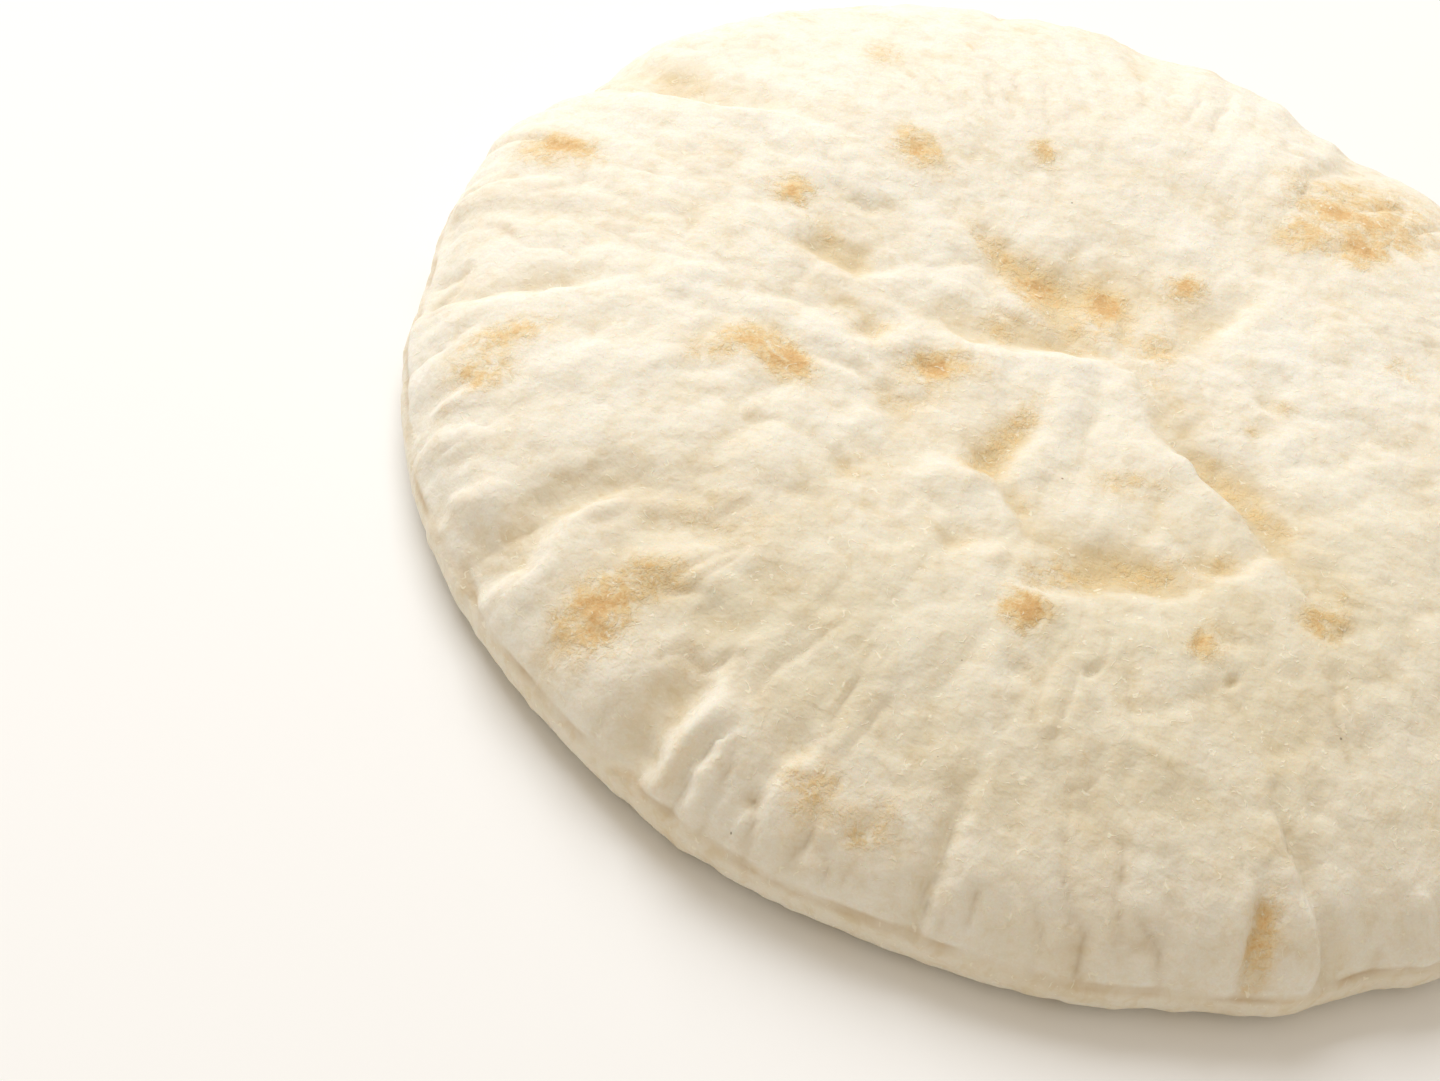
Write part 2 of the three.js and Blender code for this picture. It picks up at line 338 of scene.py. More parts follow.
# Small pleats all round the rim, on top of the folds above.
PLEAT_SEED = 11
PLEAT_GAP = (3.2, 8.5)  # degrees
PLEAT_DEPTH = (0.2, 0.75)  # millimetres
PLEAT_WIDTH = (0.6, 1.2)  # millimetres
PLEAT_LENGTH = (0.04, 0.15)  # share of the radius
PLEAT_LEAN = (-2.5, 2.5)  # degrees
PLEAT_START = 1.02  # share of the radius


# ---------------------------------------------------------------------------------------------------------
# Noise of the crust, on top of the folds. Each layer is how far it moves the dough and how big its lumps
# are, both in millimetres, and the seed of its noise.

WANDER = [  # moves the plan, across and along, before the folds are measured on it
    [(1.0, 11, 1), (0.6, 3.6, 2)],
    [(1.0, 11, 3), (0.6, 3.6, 4)],
]
SWELLS = [(0.6, 26, 8), (0.35, 12, 9)]
BEND = [(1.6, 6, 11)]  # moves the crumple and the puffs
BENT_PEBBLES = [(0.14, 2.6, 13)]
PEBBLES = [(0.12, 1.5, 14)]
SEAM_RAGS = [(2.2, 6, 15), (1.0, 2.2, 16)]
SEAM_WAVE = [(0.7, 14, 17)]  # moves the seam up and down
WALL_DENTS = [(0.3, 5, 19)]
WALL_WAVES = [(0.5, 19, 18), (0.22, 2.4, 21)]
FLOUR_DRIFTS = [(0.5, 15, 20)]
# Patches that break up the painted shade on the south side of the crust.
SOUTH_SHADE_PATCHES = [(0.5, 9, 22)]

# Noise that is shaped before it is used: the size of its lumps in millimetres, and its seed.
LOBES = (8, 5)
FINE_CREASES = (7, 6)
CREASE_PATCHES = (17, 7)
CRUMPLE = (4.6, 10)
PUFFS = (8.5, 12)

# Millimetres.
LOBE_RISE = 0.75
FINE_CREASE_DEPTH = 0.55
LUMP_RISE = 0.8
GROOVE_AT = -0.25  # from the seam, above zero up the crust
GROOVE_WIDTH = 0.55
GROOVE_DEPTH = 0.36
LIP_AT = 1.1
LIP_WIDTH = 1.0
LIP_RISE = 0.15

# Shares of the radius: where each starts to be felt, and where it is full.
RIM_REACH = (0.3, 0.8)
LEAN_REACH = (0.6, 0.9)
OUTLINE_REACH = (0.43, 1)

FOLDS_AT_SEAM = 0.6  # the share of the folds that is left at the seam


# ---------------------------------------------------------------------------------------------------------
# The stage

FLOOR_RADIUS = 4.0  # metres
FLOOR_FACETS = 64

# The key light is a square behind the loaf. Its size and its distance are in metres, and its two angles, in
# degrees, are round the loaf and above the floor.
KEY_COLOUR = (0.95, 0.98, 1.0)
KEY_SIZE = 1.0
KEY_DISTANCE = 1.3
KEY_AZIMUTH = 127
KEY_ELEVATION = 46
SKY_COLOUR = (1.0, 0.88, 0.72, 1.0)

# The middle of the view: shares of the loaf's radius across and along, and a share of its height up.
CAMERA_AIM = (-0.446, -0.426, 0.42)
CAMERA_DISTANCE = 5.737  # radii
SENSOR_WIDTH = 36.0  # millimetres
NEAR_CLIP = 0.01  # metres


# ---------------------------------------------------------------------------------------------------------
# Settings

def colour(name, red, green, blue):
    """A colour setting with a default given as the eye sees it."""
    return bpy.props.FloatVectorProperty(
        name=name,
        description=f"{name}, as the eye sees it",
        default=(red, green, blue),
        min=0.0,
        max=1.0,
        size=3,
        subtype="COLOR_GAMMA",
    )


class FlatbreadLoafSettings(bpy.types.PropertyGroup):
    """Sizes and colours of the loaf."""

    radius: bpy.props.FloatProperty(
        name="Radius",
        description="From the middle of the loaf to its outline",
        default=LOAF_RADIUS,
        unit="LENGTH",
    )
    height: bpy.props.FloatProperty(
        name="Height",
        description="From the sole to the crest of the crust",
        default=LOAF_HEIGHT,
        unit="LENGTH",
    )
    fold_depth: bpy.props.FloatProperty(
        name="Fold depth",
        description="Depth of the folds and hollows of the crust, as a share of their baked depth",
        default=1.0,
        min=0.0,
        max=1.5,
        subtype="FACTOR",
    )
    wrinkle_depth: bpy.props.FloatProperty(
        name="Wrinkle depth",
        description="Depth of the small wrinkles and lumps, as a share of their baked depth",
        default=1.0,
        min=0.0,
        max=2.0,
        subtype="FACTOR",
    )
    crust_colour: colour("Crust colour", 0.94, 0.921, 0.87)
    flour_colour: colour("Flour colour", 0.955, 0.95, 0.922)
    # Mixed in as random warm patches, as painted shade in the hollows, and as the colour of the dust.
    warm_tone_and_shade_colour: colour("Warm crust and shade colour", 0.875, 0.81, 0.68)
    toast_colour: colour("Toasted colour", 0.915, 0.81, 0.61)
    brown_colour: colour("Brown spot colour", 0.84, 0.66, 0.42)
    crease_shade_colour: colour("Crease shade colour", 0.74, 0.62, 0.44)
    # Painted shade in the creases and in the seam groove.
    speck_colour: colour("Bran speck colour", 0.36, 0.28, 0.2)
    fibre_colour: colour("Fibre colour", 0.97, 0.945, 0.87)
    # Painted shade, multiplied into the south side of the crust.
    south_shade_colour: colour("South shade tint", 0.94, 0.922, 0.872)


class FlatbreadStudioSettings(bpy.types.PropertyGroup):
    """The floor, the lights and the camera."""

    floor_colour: colour("Floor colour", 0.96, 0.965, 0.975)
    key_power: bpy.props.FloatProperty(
        name="Key light",
        description="Power of the big soft light behind the loaf",
        default=14.6,
        min=0.0,
        unit="POWER",
    )
    sky_strength: bpy.props.FloatProperty(
        name="Surround",
        description="Strength of the even light from all round",
        default=0.6,
        min=0.0,
    )
    lens: bpy.props.FloatProperty(
        name="Focal length",
        description="Focal length of the camera in millimetres",
        default=100.0,
        min=10.0,
    )
    elevation: bpy.props.FloatProperty(
        name="Elevation",
        description="How far above the floor the camera looks down from",
        default=math.radians(44.7),
        subtype="ANGLE",
    )
    roll: bpy.props.FloatProperty(
        name="Roll",
        description="How far the camera leans over",
        default=math.radians(17.8),
        subtype="ANGLE",
    )


# ---------------------------------------------------------------------------------------------------------
# Curves and noise

SEED_SHIFT = 31.7  # how far apart the noise of two seeds lies


def smooth_path(points, steps):
    """A Catmull-Rom curve through the points, in steps pieces from each to the next."""
    points = [np.array(point, float) for point in points]
    ends = [2 * points[0] - points[1], *points, 2 * points[-1] - points[-2]]
    curve = []
    for before, start, end, after in zip(ends, ends[1:], ends[2:], ends[3:]):
        for t in np.arange(steps) / steps:
            bend = 2 * before - 5 * start + 4 * end - after
            twist = 3 * start - before - 3 * end + after
            curve.append((2 * start + (end - before) * t + bend * t**2 + twist * t**3) / 2)
    return np.array([*curve, points[-1]])


def plan_point(share, degrees):
    """A point of the plan, in radii."""
    angle = math.radians(degrees)
    return share * math.cos(angle), share * math.sin(angle)


def smooth_step(value, low, high):
    """From 0 at low to 1 at high, easing in and out."""
    t = np.clip((value - low) / (high - low), 0, 1)
    return t * t * (3 - 2 * t)


def bell(value, width):
    """1 at zero, falling away on both sides."""
    return np.exp(-((value / width) ** 2))


def cusp(value, width):
    """1 at zero, falling away on both sides from a sharp point."""
    return np.exp(-np.abs(value) / width)


def lumps(places, size, seed):
    """Smooth noise from about -1 to 1, with lumps of that size in millimetres."""
    shift = SEED_SHIFT * seed
    rows = (np.asarray(places) / (size * MM)).tolist()
    return np.array([noise.noise((x + shift, y - shift, z)) for x, y, z in rows])


def layered(places, layers):
    """The sum of some layers of noise, in millimetres."""
    return sum(height * lumps(places, size, seed) for height, size, seed in layers)


def puffed(places, size, seed, sunk):
    """Noise with round lumps and sharp valleys between them, less the height that has sunk back."""
    return np.abs(lumps(places, size, seed)) - sunk


# ---------------------------------------------------------------------------------------------------------
# The dough: one closed sheet of facets, from the middle of the crust round the rim to the middle of the sole

class Profile:
    """The cross-section, measured by the run along it from the seam: above zero up the crust."""

    def __init__(self, radius, height):
        points = [*CRUST_PROFILE, SEAM_POINT, *UNDER_PROFILE]
        curve = smooth_path(points, PROFILE_STEPS) * (radius, height)
        curve[:, 1] = np.maximum(curve[:, 1], 0)
        lengths = np.hypot(*np.diff(curve, axis=0).T)
        down = np.concatenate([[0], np.cumsum(lengths)])
        seam = down[len(CRUST_PROFILE) * PROFILE_STEPS]
        self.runs = (seam - down)[::-1]
        self.out = curve[::-1, 0]
        self.up = curve[::-1, 1]
        slope = np.gradient(curve[::-1], self.runs, axis=0)
        size = np.maximum(np.hypot(*slope.T), 1e-9)
        self.normal_out = slope[:, 1] / size
        self.normal_up = -slope[:, 0] / size

    def at(self, run):
        """How far out and up the profile is, and its normal out and up, at each run."""
        kinds = (self.out, self.up, self.normal_out, self.normal_up)
        return [np.interp(run, self.runs, kind) for kind in kinds]

    def run_at_share(self, share, radius):
        """The run of the crust at a share of the radius."""
        crust = self.runs >= 0
        return float(np.interp(-share * radius, -self.out[crust], self.runs[crust]))

    def rows(self, radius):
        """The runs of the rows outside the grid, from its edge to the middle of the sole."""
        cap = self.run_at_share(CAP_SHARE, radius)
        stretches = [
            (cap, 0, CRUST_PITCH),
            (0, -WALL_RUN, WALL_PITCH),
            (-WALL_RUN, -FOOT_RUN, FOOT_PITCH),
            (-FOOT_RUN, self.runs[0], SOLE_PITCH),
        ]
        for start, end, pitch in stretches:
            count = max(1, round((start - end) / pitch))
            yield from np.linspace(start, end, count + 1)[1:]


def square_to_disc(x, y):
    """The point of a round disc for a point of a square, both reaching 1."""
    if abs(x) > abs(y):
        return x, math.pi / 4 * y / x
    if y:
        return y, math.pi / 2 - math.pi / 4 * x / y
    return 0.0, 0.0


def roll_dough(profile, radius):
    """A closed bmesh of the profile turned round, with the run of each vertex in a layer."""
    dough = bmesh.new()
    run_layer = dough.verts.layers.float.new("run")
    bmesh.ops.create_grid(dough, x_segments=CELLS, y_segments=CELLS, size=1.0)
    for vert in dough.verts:
        out, angle = square_to_disc(vert.co.x, vert.co.y)
        share = abs(out) * CAP_SHARE
        vert[run_layer] = profile.run_at_share(share, radius)
        away = out * CAP_SHARE * radius
        vert.co = (away * math.cos(angle), away * math.sin(angle), 0)
    rim = [edge for edge in dough.edges if edge.is_boundary]
    for run in profile.rows(radius):
        grown = bmesh.ops.extrude_edge_only(dough, edges=rim)["geom"]
        ring = [item for item in grown if isinstance(item, bmesh.types.BMVert)]
        rim = [item for item in grown if isinstance(item, bmesh.types.BMEdge) and item.is_boundary]
        out = max(float(profile.at(run)[0]), SOLE_HOLE)
        for vert in ring:
            vert.co.xy = vert.co.xy.normalized() * out
            vert[run_layer] = run
    bmesh.ops.pointmerge(dough, verts=ring, merge_co=Vector((0, 0, 0)))
    return dough


# ---------------------------------------------------------------------------------------------------------
# The relief of the crust

def outline_share(angle):
    """The outline's radius at an angle, as a share of the mean radius."""
    degrees = np.degrees(angle)
    share = np.ones_like(degrees)
    for size, count, at in OUTLINE_LOBES:
        share += size * np.cos(np.radians(count * (degrees - at)))
    for at, size, width in OUTLINE_BENDS:
        share += size * bell((degrees - at + 180) % 360 - 180, width)
    return share


def beside_path(plan, path):
    """For each plan point, how far it is from the path, on which side (1 is left) and how far along."""
    curve = smooth_path([plan_point(*point) for point in path], FOLD_STEPS)
    nearest = np.full(len(plan), np.inf)
    side = np.zeros(len(plan))
    along = np.zeros(len(plan))
    for i, (start, end) in enumerate(zip(curve, curve[1:])):
        way = end - start
        t = np.clip((plan - start) @ way / (way @ way), 0, 1)
        off = plan - start - t[:, None] * way
        away = np.hypot(*off.T)
        closer = away < nearest
        nearest[closer] = away[closer]
        side[closer] = np.sign(way[0] * off[:, 1] - way[1] * off[:, 0])[closer]
        along[closer] = ((i + t) / (len(curve) - 1))[closer]
    return nearest, side, along


FOLD_REACH = 6  # a fold is felt this many of its widths from its path
OPEN_END = 0.95  # a path that ends inside this share of the radius fades out there
FADE_IN = (0.0, 0.35)  # shares of a path
FADE_OUT = (0.6, 1.0)
FADED = 0.25  # what is left of a fold at an end that fades


def fold_shape(kind, widths, side):
    """How high a fold stands across its path, as a share of its rise, so many of its widths away."""
    if kind == "swell":
        return bell(widths, 1)
    if kind == "crease":
        return cusp(widths, 1)
    if kind == "step":
        return side * np.tanh(widths * 1.5) * bell(widths, 3)
    foot = bell(widths, 0.75)
    return np.where(side > 0, -bell(widths, 1.3), 0.8 * (1 - foot) * bell(widths, 2.6) - foot)


def fold_rise(plan, radius, kind, width, rise, path):
    """How far one fold raises each plan point, in metres."""
    raised = np.zeros(len(plan))
    reach = FOLD_REACH * width * MM / radius
    corners = np.array([plan_point(*point) for point in path])
    close = ((plan > corners.min(0) - reach) & (plan < corners.max(0) + reach)).all(1)
    if not close.any():
        return raised
    away, side, along = beside_path(plan[close], path)
    widths = away * radius / (width * MM)
    fade = np.ones(len(along))
    if path[-1][0] < OPEN_END:
        fade -= (1 - FADED) * smooth_step(along, *FADE_OUT)
    if path[0][0] < OPEN_END:
        fade *= FADED + (1 - FADED) * smooth_step(along, *FADE_IN)
    raised[close] = rise * MM * fade * fold_shape(kind, widths, side)
    return raised


def small_pleats():
    """Paths, widths and rises of the small pleats round the rim."""
    chance = np.random.default_rng(PLEAT_SEED)
    degrees = 0.0
    while degrees < 360 - PLEAT_GAP[0]:
        length = chance.uniform(*PLEAT_LENGTH)
        lean = chance.uniform(*PLEAT_LEAN)
        path = [(PLEAT_START, degrees), (1 - length / 2, degrees + lean / 3), (1 - length, degrees + lean)]
        yield "crease", chance.uniform(*PLEAT_WIDTH), -chance.uniform(*PLEAT_DEPTH), path
        degrees += chance.uniform(*PLEAT_GAP)


def spot_mask(plan, radius):
    """How toasted each plan point is."""
    toast = np.zeros(len(plan))
    for share, degrees, length, width, turn, strength in SPOTS:
        off = (plan - plan_point(share, degrees)) * radius
        way = np.array(plan_point(1, turn))
        along = off @ way / (length * MM)
        across = (way[0] * off[:, 1] - way[1] * off[:, 0]) / (width * MM)
        toast += strength * np.exp(-((along**2 + across**2) ** 0.8) * 0.8)
    return toast


class Dough:
    """The vertices of the turned profile, as arrays with a row for each vertex."""

    def __init__(self, mesh, profile, radius):
        flat = np.zeros(len(mesh.vertices) * 3)
        mesh.vertices.foreach_get("co", flat)
        flat = flat.reshape(-1, 3)
        run = np.zeros(len(flat), np.float32)
        mesh.attributes["run"].data.foreach_get("value", run)
        self.radius = radius
        self.run = run.astype(float)
        self.angle = np.arctan2(flat[:, 1], flat[:, 0])
        self.way = np.column_stack([np.cos(self.angle), np.sin(self.angle)])
        self.away, self.up, self.normal_out, self.normal_up = profile.at(self.run)
        self.share = self.away / radius
        self.place = np.column_stack([self.way * self.away[:, None], self.up])
        self.around = np.column_stack([self.way * radius, np.zeros(len(self.way))])
        self.shift = np.column_stack([layered(self.place, layers) for layers in WANDER]) * MM
        self.plan = (self.place[:, :2] + self.shift) / radius
        self.crust = smooth_step(self.run, 0, 3.5 * MM)
        self.crust_edge = smooth_step(self.run, -0.6 * MM, 0.5 * MM)
        self.ring = smooth_step(self.share, *RIM_REACH)
        self.wall = smooth_step(self.run, -WALL_RUN, -WALL_RUN * 0.6) * (1 - self.crust_edge)


def folds_of(dough):
    """How far all the folds raise the dough, and how far its creases sink, in metres."""
    folds = np.zeros(len(dough.run))
    creases = np.zeros(len(dough.run))
    for kind, width, rise, path in [*FOLDS.values(), *small_pleats()]:
        raised = fold_rise(dough.plan, dough.radius, kind, width, rise, path)
        folds += raised
        if kind == "crease":
            creases -= raised
    return folds, creases


def rim_wrinkles(dough):
    """Noise that runs towards the middle: long lobes, in millimetres, and the share of fine creases."""
    spokes = np.column_stack([dough.way * dough.radius, dough.away / 3])
    lobes = LOBE_RISE * puffed(spokes, *LOBES, 0.25) * dough.ring
    wavy = np.column_stack([dough.way * dough.radius + dough.shift, dough.away / 2.5])
    gate = smooth_step(lumps(dough.place, *CREASE_PATCHES), -0.15, 0.35)
    fine_creases = cusp(lumps(wavy, *FINE_CREASES), 0.07) * gate * dough.ring
    return lobes, fine_creases


def middle_lumps(dough):
    """The crumple and the puffs of the crust, before their rise, and its pebbles, in millimetres."""
    middle = 1 - smooth_step(dough.share, 0.5, 0.95)
    rough = 1 - 0.6 * smooth_step(dough.plan[:, 1], 0.1, 0.5)
    bent = dough.place + MM * layered(dough.place, BEND)[:, None]
    crumple = (0.35 + 0.2 * middle) * rough * puffed(bent, *CRUMPLE, 0.2)
    puffs = (0.7 + 0.8 * middle) * rough * puffed(bent, *PUFFS, 0.2)
    return crumple, puffs, layered(bent, BENT_PEBBLES) + layered(dough.place, PEBBLES)


def seam_lines(dough):
    """The groove under the crust's edge, the lip above it and how ragged they are, each up to 1."""
    ragged = 0.55 + 0.45 * np.clip(layered(dough.around, SEAM_RAGS), -1, 1)
    line = dough.run - MM * layered(dough.around, SEAM_WAVE)
    groove = bell(line - GROOVE_AT * MM, GROOVE_WIDTH * MM)
    lip = bell(line - LIP_AT * MM, LIP_WIDTH * MM)
    return groove, lip, ragged


def bake(mesh, profile, settings):
    """Moves the mesh's vertices from the turned profile to the baked shape, and stores the masks on it."""
    dough = Dough(mesh, profile, settings.radius)
    folds, creases = folds_of(dough)
    lobes, fine_creases = rim_wrinkles(dough)
    crumple, puffs, pebbles = middle_lumps(dough)
    swell = layered(dough.place, SWELLS)
    wrinkles = lobes - FINE_CREASE_DEPTH * fine_creases + LUMP_RISE * (crumple + puffs) + pebbles
    relief = settings.fold_depth * (folds + swell * MM) * dough.crust
    relief += settings.wrinkle_depth * wrinkles * MM * dough.crust
    relief += settings.fold_depth * folds * (dough.crust_edge - dough.crust) * FOLDS_AT_SEAM

    # The crust's edge stands a little proud of a narrow groove, more in some places than others. The wall
    # below it is smooth, with a slow wave and a few dents.
    groove, lip, ragged = seam_lines(dough)
    relief += (LIP_RISE * lip * ragged - GROOVE_DEPTH * groove * (0.05 + 0.95 * ragged)) * MM
    dents = layered(dough.place, WALL_DENTS) + layered(dough.around, WALL_WAVES) + 0.5 * pebbles
    relief += dough.wall * dents * MM

    # Folds move the middle of the crust straight up and down, and the rim along its own normal.
    lean = smooth_step(dough.share, *LEAN_REACH)
    out = dough.away + relief * lean * dough.normal_out
    up = dough.up + relief * ((1 - lean) + lean * dough.normal_up)
    stretch = 1 + (outline_share(dough.angle) - 1) * smooth_step(dough.share, *OUTLINE_REACH)
    baked = np.column_stack([dough.way * (out * stretch)[:, None], np.maximum(up, 0)])
    mesh.vertices.foreach_set("co", baked.ravel())

    # Hollows get painted shade, warmer and darker than crests, and the south side of the crust gets painted
    # shade too.
    sunk = 0.15 - folds / MM - 0.6 * swell - 1.6 * puffs - 0.8 * crumple
    south = smooth_step(0.35 * dough.plan[:, 0] - 0.94 * dough.plan[:, 1], -0.05, 0.6)
    south *= 1 - 0.75 * smooth_step(dough.share, 0.8, 0.95)
    proud = relief / MM + layered(dough.place, FLOUR_DRIFTS) + 0.7 * dough.ring
    masks = {
        "toast": spot_mask(dough.plan, dough.radius) * dough.crust_edge,
        # Painted shade in the hollows, mixed warmer and darker, plus a slight warm tone on the wall.
        "hollow": np.clip((0.6 - 0.5 * dough.ring) * sunk, 0, 1) * dough.crust + 0.1 * dough.wall,
        # Painted shade on the south side of the crust, in patches.
        "south_shade": south * (0.85 + layered(dough.place, SOUTH_SHADE_PATCHES)),
        # Painted shade in the sunk creases and the fine creases.
        "crease": (
            np.clip((creases / MM - 0.25) / 1.2, 0, 1) * dough.crust_edge + 0.35 * fine_creases * dough.crust
        ),
        "floured": smooth_step(proud, -1.6, 1.4) * dough.crust_edge,
        # Painted shade in the seam groove.
        "seam": np.clip(groove * ragged, 0, 1),
    }
    for name, values in masks.items():
        mesh.attributes.new(name, "FLOAT", "POINT").data.foreach_set("value", values.astype(np.float32))


# ---------------------------------------------------------------------------------------------------------
# Shader nodes

MIX_FACTOR, MIX_A, MIX_B = 0, 6, 7  # the colour mix's inputs
MIX_RESULT = 2


def linear(colour):
    """A colour for a shader from one as the eye sees it, with alpha."""
    return (*[c / 12.92 if c <= 0.04045 else ((c + 0.055) / 1.055) ** 2.4 for c in colour], 1.0)


def fill(tree, socket, value):
    """Links an output to an input, or sets the input's own value."""
    if isinstance(value, bpy.types.NodeSocket):
        tree.links.new(value, socket)
    else:
        socket.default_value = value


def add(tree, kind, settings=None, **inputs):
    """A shader node with its settings, and its inputs by name."""
    made = tree.nodes.new("ShaderNode" + kind)
    for name, value in (settings or {}).items():
        setattr(made, name, value)
    for name, value in inputs.items():
        fill(tree, made.inputs[name.replace("_", " ")], value)
    return made


def sums(tree, operation, first, second, clamp=False):
    """The output of a Math node."""
    made = tree.nodes.new("ShaderNodeMath")
    made.operation = operation
    made.use_clamp = clamp
    fill(tree, made.inputs[0], first)
    fill(tree, made.inputs[1], second)
    return made.outputs[0]


def spread(tree, value, low, high, to_low=0.0, to_high=1.0):
    """value, which goes from low to high, spread smoothly from to_low to to_high."""
    made = add(tree, "MapRange", {"interpolation_type": "SMOOTHSTEP"}, Value=value)
    for name, number in {"From Min": low, "From Max": high, "To Min": to_low, "To Max": to_high}.items():
        made.inputs[name].default_value = number
    return made.outputs["Result"]


def tint(tree, share, first, second, blend="MIX"):
    """first with that share of second mixed in."""
    made = tree.nodes.new("ShaderNodeMix")
    made.data_type = "RGBA"
    made.blend_type = blend
    fill(tree, made.inputs[MIX_FACTOR], share)
    fill(tree, made.inputs[MIX_A], first)
    fill(tree, made.inputs[MIX_B], second)
    return made.outputs[MIX_RESULT]


def part(tree, value, share, clamp=False):
    """That share of a value."""
    return sums(tree, "MULTIPLY", value, share, clamp)


def noise_of(tree, place, size, detail=2.0, roughness=0.55, distortion=0.0):
    """Noise from 0 to 1 whose lumps are size millimetres across."""
    made = add(
        tree,
        "TexNoise",
        Vector=place,
        Scale=1 / (size * MM),
        Detail=detail,
        Roughness=roughness,
        Distortion=distortion,
    )
    return made.outputs[0]


def mask_of(tree, name):
    """A mask stored on the mesh."""
    return add(tree, "Attribute", {"attribute_name": name}).outputs["Fac"]


def new_group(name, inputs, outputs):
    """An empty node group with its sockets, as (group, input node's outputs, output node's inputs)."""
    group = bpy.data.node_groups.new(name, "ShaderNodeTree")
    for label, kind in inputs.items():
        group.interface.new_socket(label, in_out="INPUT", socket_type="NodeSocket" + kind)
    for label, kind in outputs.items():
        group.interface.new_socket(label, in_out="OUTPUT", socket_type="NodeSocket" + kind)
    return group, group.nodes.new("NodeGroupInput").outputs, group.nodes.new("NodeGroupOutput").inputs


def place_group(tree, group, **inputs):
    """A group put in a material, with its inputs."""
    made = tree.nodes.new("ShaderNodeGroup")
    made.node_tree = group
    for name, value in inputs.items():
        fill(tree, made.inputs[name.replace("_", " ")], value)
    return made.outputs


def toasting_group():
    """Breaks a soft toasted mask up into patches, a light toast round a brown middle."""
    group, given, out = new_group(
        "toasting", {"Place": "Vector", "Toast": "Float"}, {"Toasted": "Float", "Brown": "Float"}
    )
    patches = noise_of(group, given["Place"], 3.2, detail=3, roughness=0.6, distortion=0.6)
    threads = noise_of(group, given["Place"], 0.9, detail=3, roughness=0.65, distortion=1.2)
    broken = sums(group, "MULTIPLY", given["Toast"], spread(group, patches, 0.25, 0.75, 0.45, 1.45))
    broken = sums(group, "MULTIPLY", broken, spread(group, threads, 0.3, 0.7, 0.7, 1.3))
    fill(group, out["Toasted"], spread(group, broken, 0.03, 0.66))
    fill(group, out["Brown"], spread(group, broken, 0.42, 1.1))
    return group


def flour_group():
    """Where flour still lies on the dough: thin, patchy, and thicker where the mask says so."""
    group, given, out = new_group("flour", {"Place": "Vector", "Amount": "Float"}, {"Flour": "Float"})
    drifts = spread(group, noise_of(group, given["Place"], 7, detail=3, roughness=0.6), 0.3, 0.7, 0.0, 0.6)
    dust = spread(group, noise_of(group, given["Place"], 0.7, detail=3, roughness=0.7), 0.3, 0.7, 0.0, 0.4)
    thick = sums(group, "ADD", drifts, dust)
    fill(group, out["Flour"], sums(group, "MULTIPLY", thick, given["Amount"], clamp=True))
    return group


def grain_group():
    """The fine surface of baked dough: pebbles, dust, and short pale fibres that lie on it every way."""
    group, given, out = new_group(
        "grain", {"Place": "Vector"}, {"Height": "Float", "Fibres": "Float", "Dust": "Float"}
    )
    place = given["Place"]
    pebbles = noise_of(group, place, 1.5, detail=2, roughness=0.5, distortion=0.3)
    threads = noise_of(group, place, 0.8, detail=3, roughness=0.6)
    dust = noise_of(group, place, 0.3, detail=2, roughness=0.6)
    curves = sums(group, "SUBTRACT", noise_of(group, place, 2.4, detail=1), 0.5)
    lines = spread(group, sums(group, "ABSOLUTE", curves, 0), 0.008, 0.024, 1.0, 0.0)
    short = spread(group, noise_of(group, place, 1.1, detail=1), 0.56, 0.64)
    fibres = sums(group, "MULTIPLY", lines, short)
    height = part(group, pebbles, 0.75)
    for layer, share in ((threads, 0.2), (dust, 0.08), (fibres, 0.12)):
        height = sums(group, "ADD", height, part(group, layer, share))
    fill(group, out["Height"], height)
    fill(group, out["Fibres"], fibres)
    fill(group, out["Dust"], dust)
    return group


def bran_specks(tree, place):
    """A mask of tiny dark specks, a few to the square centimetre at most."""
    cells = add(tree, "TexVoronoi", Vector=place, Scale=1 / (6.5 * MM), Randomness=1.0)
    dot = spread(tree, cells.outputs["Distance"], 0.018, 0.032, 1.0, 0.0)
    pick = add(tree, "SeparateColor", Color=cells.outputs["Color"]).outputs[0]
    return sums(tree, "MULTIPLY", dot, sums(tree, "GREATER_THAN", pick, 0.8))


